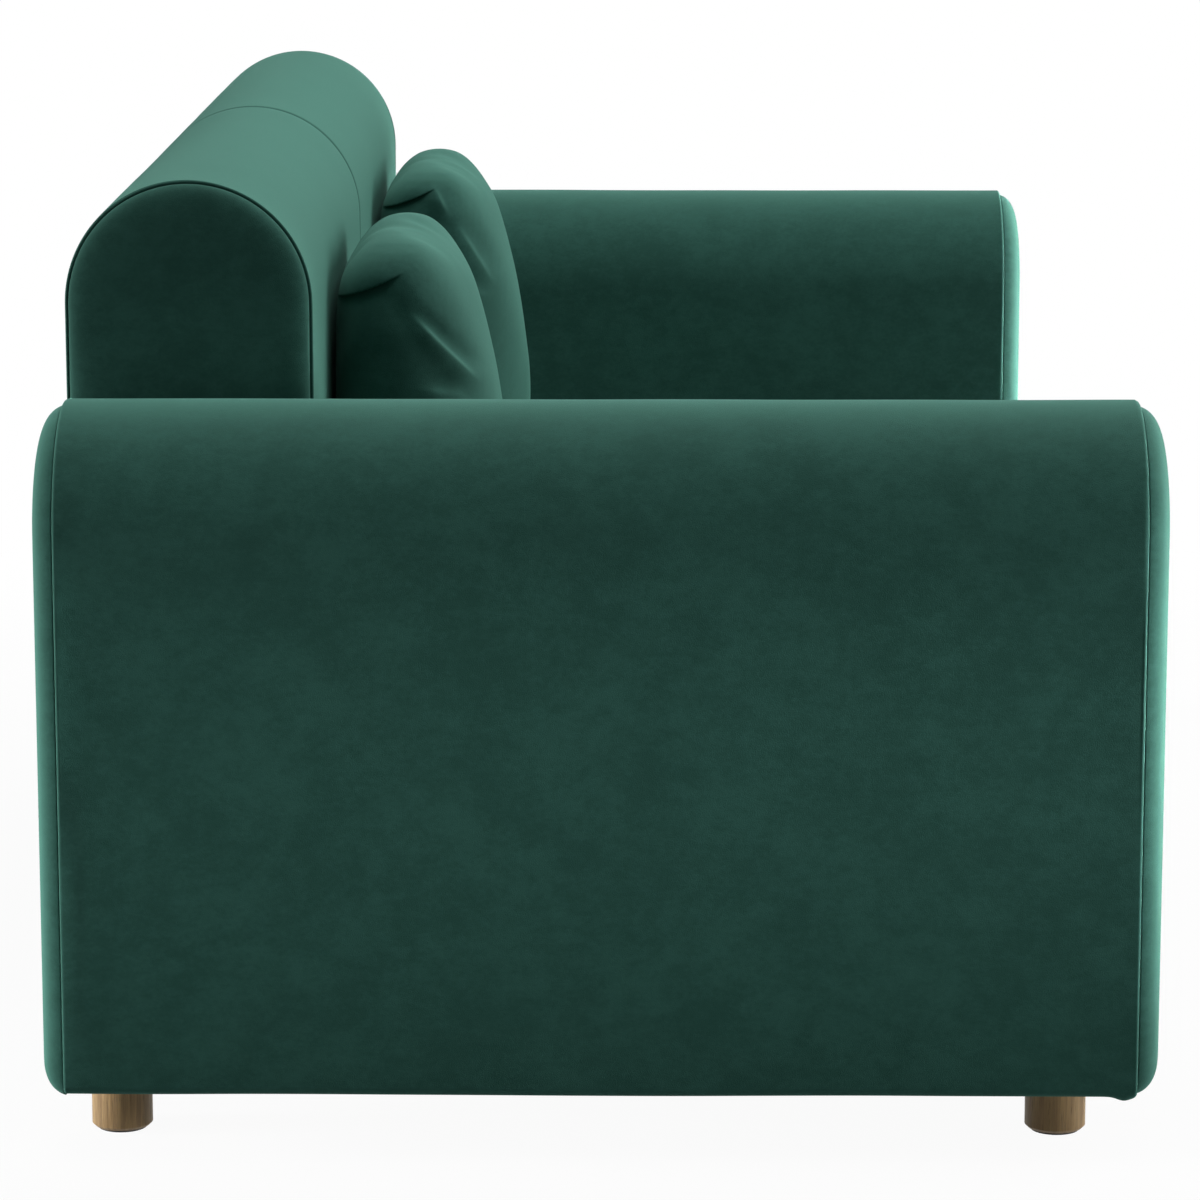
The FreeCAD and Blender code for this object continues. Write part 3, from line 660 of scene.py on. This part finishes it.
def make_seat_cushion(side):
    """A boxed seat cushion, crowned on top, with a sewn seam round its upper and lower edges."""
    node = "seat_cushion_%s_cover" % side
    low, high = (np.array(c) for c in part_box(node))
    middle, half = (low + high) / 2, (high - low) / 2
    outline = pinched_square(SEAT_SQUARENESS, SEAT_PINCH)
    wide, deep = half[0] - SEAT_INSET, half[1] - SEAT_INSET
    top_shares = 1 - 0.28 * np.linspace(1, 0, 14) ** 2
    rings = []
    for share in np.concatenate((np.linspace(0, 0.16, 7), np.linspace(0.2, 0.7, 10), top_shares)):
        scale = swell(min(share, SEAT_TOP_CUT), *SEAT_SWELL)
        z = low[2] + SEAT_FOOT + (high[2] - low[2] - SEAT_LOSS) * share
        rings.append([(middle[0] + wide * scale * a, middle[1] + deep * scale * b, z) for a, b in outline])
    piece = skin("seat_cushion_" + side, rings)
    even_mesh(piece, SEAT_MESH)
    fill_with_air(piece, SEAT_PRESSURE, SEAT_SWELLING)
    ironed(piece, SEAT_IRONING)
    finer(piece)
    points = corners_of(piece.data)
    away = np.max(np.abs(points[:, :2] - middle[:2]) / half[:2], axis=1)
    rim = eased(away, 0.9, 0.97)
    normals = facing_out(piece.data)
    seams = np.zeros(len(points))
    for height in (low[2] + SEAT_SEAMS[0], high[2] - SEAT_SEAMS[1]):
        seams += np.exp(-((points[:, 2] - height) / SEAT_SEAM_WIDTH) ** 2)
    points -= normals * (seams * rim * SEAT_SEAM_DEPTH)[:, None]
    place = SEAT_CREASE_PLACE[side]
    creases = np.array([noise.noise(Vector((x * 9, y * 7, place))) for x, y, z in points])
    points[:, 2] += creases * SEAT_CREASES * eased(points[:, 2], middle[2], high[2])
    points = kept_below(points, high - SEAT_CLEARANCE, SEAT_EASE_HIGH)
    points = -kept_below(-points, -low - SEAT_CLEARANCE, SEAT_EASE_LOW)
    set_corners(piece.data, points)
    nodes = [node, "seat_cushion_%s_foam" % side]
    dress(piece, "seat_cushion_" + side, "velvet", nodes)


# tucks and wrinkles on the end of a scatter cushion: both ends of each line, as distance in front of
# the back and height above the seat, then height and half-width of the ridge
WRINKLES = {
    "left": (
        ((0.074, 0.252), (0.126, 0.192), 0.0036, 0.0034),
        ((0.080, 0.190), (0.112, 0.180), 0.0026, 0.0040),
        ((0.104, 0.186), (0.122, 0.170), 0.0018, 0.0040),
    ),
    "right": (
        ((0.060, 0.290), (0.074, 0.264), 0.0040, 0.0040),
        ((0.085, 0.250), (0.118, 0.192), 0.0026, 0.0042),
        ((0.082, 0.192), (0.114, 0.178), 0.0022, 0.0045),
    ),
}
TUCK_BACK = (0.002, 0.266)
TUCK_FRONT = (0.054, 0.286)
TUCK_BULGE = 0.0035
TUCK_RECESS = 0.009
TUCK_ROLL = 0.003
SCATTER_TOPS = {"left": 0.318, "right": 0.308}


def sculpt_tuck(points, end, middle, half, back, seat):
    """Folds the upper corner of a cushion's end over itself, in a crease that starts at the back."""
    out = (points[:, 0] - middle) / half * end
    forward = back - points[:, 1]
    share = (forward - TUCK_BACK[0]) / (TUCK_FRONT[0] - TUCK_BACK[0])
    above = points[:, 2] - seat - TUCK_BACK[1] - (TUCK_FRONT[1] - TUCK_BACK[1]) * share
    side = eased(out, 0.45, 0.80) * (1 - eased(share + np.minimum(above, 0) / 0.10, 0.75, 1.30))
    over = eased(above, -0.0012, 0.0012)
    bulge = over * (1 - np.exp(-np.maximum(above, 0) / 0.006)) * (1 - eased(above, 0.008, 0.036))
    recess = (1 - over) * np.exp(np.minimum(above, 0) / 0.060)
    points[:, 0] += end * side * (TUCK_BULGE * bulge - TUCK_RECESS * recess)
    points[:, 2] -= side * TUCK_ROLL * over * np.exp(-np.maximum(above, 0) / 0.008)


def sculpt_wrinkle(points, normals, end, middle, half, back, seat, line):
    """Raises one wrinkle between two places on a cushion's end, with a hollow along its upper side."""
    first, last, height, width = line
    first, last = np.array(first), np.array(last)
    flat = np.stack((back - points[:, 1], points[:, 2] - seat), 1)
    run = last - first
    length = np.linalg.norm(run)
    run = run / length
    along = (flat - first) @ run
    across = (flat - first) @ np.array((-run[1], run[0]))
    out = (points[:, 0] - middle) / half * end
    fade = eased(along, -0.010, 0.022) * (1 - eased(along, length - 0.026, length + 0.010))
    weight = fade * eased(out, 0.15, 0.5)
    ridge = np.exp(-(across / np.where(across < 0, 3.5 * width, width)) ** 2)
    hollow = np.exp(-((across - 2.8 * width) / (1.9 * width)) ** 2)
    points += normals * (weight * height * (ridge - 0.6 * hollow))[:, None]


def make_scatter_cushion(side):
    """A soft square cushion that leans on the back, with tucked corners and pulled wrinkles."""
    node = "scatter_cushion_%s_cover" % side
    low, high = (np.array(c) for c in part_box(node))
    middle, half = (low + high) / 2, (high - low) / 2
    outline = pinched_square(SCATTER_SQUARENESS, SCATTER_PINCH)
    depth = high[1] - low[1] - 2 * SCATTER_INSET
    rings = []
    front_shares = 0.45 + 0.55 * np.sin(np.linspace(0, math.pi / 2, 26)[1:])
    for share in np.concatenate((np.linspace(0, 0.45, 16), front_shares)):
        reached = min(share, SCATTER_FRONT_CUT)
        broad = SCATTER_BACK_SCALE, SCATTER_BROADEST, SCATTER_BROADEST, SCATTER_ROUNDING_ACROSS
        tall = SCATTER_BACK_SCALE, SCATTER_WIDEST, SCATTER_WIDEST, SCATTER_ROUNDING_UP
        across = (half[0] - SCATTER_INSET) * swell(reached, *broad)
        up = (half[2] - SCATTER_INSET) * swell(reached, *tall)
        sag = SCATTER_SAG * (max(share - SCATTER_WIDEST, 0) / (1 - SCATTER_WIDEST)) ** 2
        y = high[1] - SCATTER_REAR_GAP - depth * share
        rings.append([(middle[0] + across * a, y, middle[2] + up * b - sag) for a, b in outline])
    piece = skin("scatter_cushion_" + side, rings)
    even_mesh(piece, SCATTER_MESH)
    fill_with_air(piece, SCATTER_PRESSURE, SCATTER_SWELLING)
    ironed(piece, SCATTER_IRONING)
    finer(piece)
    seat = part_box("seat_cushion_%s_cover" % side)[1][2]

    def creased(point):
        ends = abs(point.x - middle[0]) > 0.5 * half[0]
        return ends and high[1] - point.y < 0.15 and point.z - seat > 0.15

    finer_where(piece, creased)
    points = corners_of(piece.data)
    highest = points[:, 2].max() - seat
    points[:, 2] = seat + (points[:, 2] - seat) * SCATTER_TOPS[side] / highest
    for end in (-1, 1):
        place = (end, middle[0], half[0], high[1], seat)
        for line in WRINKLES[side]:
            sculpt_wrinkle(points, facing_out(piece.data), *place, line)
        sculpt_tuck(points, *place)
    points[:, 1] = kept_below(points[:, 1], high[1], SCATTER_BACK_EASE)
    set_corners(piece.data, points)
    nodes = [node, "scatter_cushion_%s_fill" % side]
    dress(piece, "scatter_cushion_" + side, "velvet", nodes)


def sheet_grid(name, low, high, height, across, along):
    """A cloth sheet over a rectangle, at the heights that a function gives."""
    points = []
    for y in np.linspace(low[1], high[1], along):
        points += [(x, y, height(x, y)) for x in np.linspace(low[0], high[0], across)]
    faces = []
    for j in range(along - 1):
        for i in range(across - 1):
            k = j * across + i
            faces.append((k, k + 1, k + across + 1, k + across))
    return mesh_piece(name, points, faces)


def strap_edges():
    """The left and right edges of the webbing straps along X, as they are packed."""
    corners = frame["nodes"]["seat_webbing"].data.vertices
    return np.array(sorted({round(corner.co[0], 4) for corner in corners}))


def make_deck():
    """Under the seat cushions: webbing straps, the felt over them, and the dust cover below."""
    low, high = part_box("seat_webbing")
    edges = strap_edges()
    points = []
    faces = []
    columns = len(STRAP_COLUMNS)
    for left in edges[::2]:
        for j, y in enumerate(np.linspace(low[1], high[1], STRAP_ROWS)):
            dip = STRAP_DIP * math.sin(math.pi * j / (STRAP_ROWS - 1))
            for u in STRAP_COLUMNS:
                thin = STRAP_EDGE if u in (0, 1) else 0
                points.append((left + u * STRAP_WIDTH, y, high[2] - dip - thin))
            if j:
                for i in range(columns - 1):
                    k = len(points) - columns + i
                    faces.append((k - columns, k - columns + 1, k + 1, k))
    straps = mesh_piece("webbing_straps", points, faces)
    dress(straps, "frame", "webbing", ["seat_webbing"])

    low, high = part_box("deck_felt")
    middles = edges[::2] + STRAP_WIDTH / 2

    def felt_height(x, y):
        gap = min(abs(x - m) for m in middles)
        return high[2] - FELT_SINK * float(eased(gap, 0.03, 0.05)) - FELT_DROP

    felt = sheet_grid("deck_felt_sheet", low, high, felt_height, 180, 60)
    dress(felt, "frame", "felt", ["deck_felt"])

    low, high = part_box("dust_cover")

    def dust_height(x, y):
        across = 1 - (2 * (x - low[0]) / (high[0] - low[0]) - 1) ** 2
        along = 1 - (2 * (y - low[1]) / (high[1] - low[1]) - 1) ** 2
        return high[2] - DUST_DROP - DUST_SAG * across * along

    dust = sheet_grid("dust_cloth_sheet", low, high, dust_height, 60, 30)
    dress(dust, "frame", "dust_cloth", ["dust_cover"])


def finish_bare_nodes():
    """Gives every solid that stays in sight its finish, by the record's slots."""
    for part in frame["record"]["subparts"]:
        node = frame["nodes"][part["node"]]
        node.data.materials.clear()
        node.data.materials.append(FINISHES[part["material_slot"]])


def make_stage():
    """A white floor that keeps the sofa's shadow, a white world and the lamps."""
    floor = mesh_piece("floor", [(-60, -60, 0), (60, -60, 0), (60, 60, 0), (-60, 60, 0)], [(0, 1, 2, 3)])
    made = new_finish("white_floor")
    path = "ShaderNodeLightPath"
    seen = made.add(path, out="Is Camera Ray") + made.add(path, out="Is Glossy Ray")
    away = made.add("ShaderNodeVectorMath", {"operation": "LENGTH"}, {0: made.place()}, out="Value")
    paint = made.mixed(seen, FLOOR_SHADE, FLOOR_WHITE)
    matt = made.add("ShaderNodeBsdfDiffuse", {}, {"Color": paint})
    lit = made.add("ShaderNodeEmission", {}, {"Color": (1, 1, 1, 1), "Strength": 1.0})
    share = seen * (made.between(away, *FLOOR_SHADOW_REACH) * (1 - FLOOR_GLOW) + FLOOR_GLOW)
    mixed = made.add("ShaderNodeMixShader", {}, {0: share, 1: matt, 2: lit})
    made.add("ShaderNodeOutputMaterial", {}, {"Surface": mixed})
    floor.data.materials.append(made.owner)

    world = bpy.data.worlds.new("studio")
    bpy.context.scene.world = world
    around = Finish(world)
    seen = around.add(path, out="Is Camera Ray") + around.add(path, out="Is Glossy Ray")
    seen = seen + around.add(path, out="Is Transmission Ray")
    soft = around.add("ShaderNodeBackground", {}, {"Color": (1, 1, 1, 1), "Strength": WORLD_LIGHT})
    white = around.add("ShaderNodeBackground", {}, {"Color": (1, 1, 1, 1), "Strength": 1.0})
    mixed = around.add("ShaderNodeMixShader", {}, {0: seen, 1: soft, 2: white})
    around.add("ShaderNodeOutputWorld", {}, {"Surface": mixed})

    for name, place, aim, wide, tall, power, spread in LAMPS:
        lamp = bpy.data.lights.new(name, "AREA")
        lamp.shape = "RECTANGLE"
        lamp.size = wide
        lamp.size_y = tall
        lamp.energy = power
        lamp.spread = math.radians(spread)
        held = bpy.data.objects.new(name, lamp)
        held.location = place
        held.rotation_euler = (Vector(aim) - Vector(place)).to_track_quat("-Z", "Y").to_euler()
        bpy.context.scene.collection.objects.link(held)


def make_camera():
    """Looks along the sofa from beyond its left arm, a little above it."""
    lens = bpy.data.cameras.new("view")
    lens.lens = CAMERA_LENS
    lens.sensor_width = 36
    lens.clip_end = 200
    camera = bpy.data.objects.new("view", lens)
    camera.location = CAMERA_PLACE
    level = math.cos(CAMERA_PITCH)
    ahead = Vector((math.cos(CAMERA_YAW) * level, math.sin(CAMERA_YAW) * level, -math.sin(CAMERA_PITCH)))
    camera.rotation_euler = ahead.to_track_quat("-Z", "Y").to_euler()
    bpy.context.scene.collection.objects.link(camera)
    bpy.context.scene.camera = camera


bpy.context.scene.view_settings.view_transform = "Standard"
make_camera()
make_stage()
finish_bare_nodes()
for each in SIDES:
    make_arm(each)
make_back()
make_border()
make_deck()
for each in SIDES:
    make_seat_cushion(each)
    make_scatter_cushion(each)
